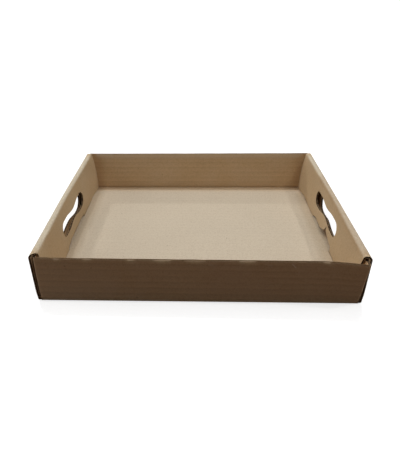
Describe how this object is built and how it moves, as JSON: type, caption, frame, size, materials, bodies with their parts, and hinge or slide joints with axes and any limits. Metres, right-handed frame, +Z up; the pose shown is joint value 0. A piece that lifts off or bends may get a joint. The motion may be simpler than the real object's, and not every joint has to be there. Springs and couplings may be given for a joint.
{
  "type": "cardboard tray box",
  "caption": "Open shallow tray folded from one sheet of corrugated cardboard, with double end walls, rolled-over tops and hand holes.",
  "frame": {"origin": "middle of the underside of the folded tray", "axes": "+X along the long side, to the right seen from the front; +Y to the back wall; +Z up"},
  "size_m": [0.4122, 0.3452, 0.07],
  "materials": {
    "brown_cardboard": "matt brown corrugated board"
  },
  "bodies": {
    "root": {"folded_tray": "brown_cardboard"}
  },
  "joints": []
}
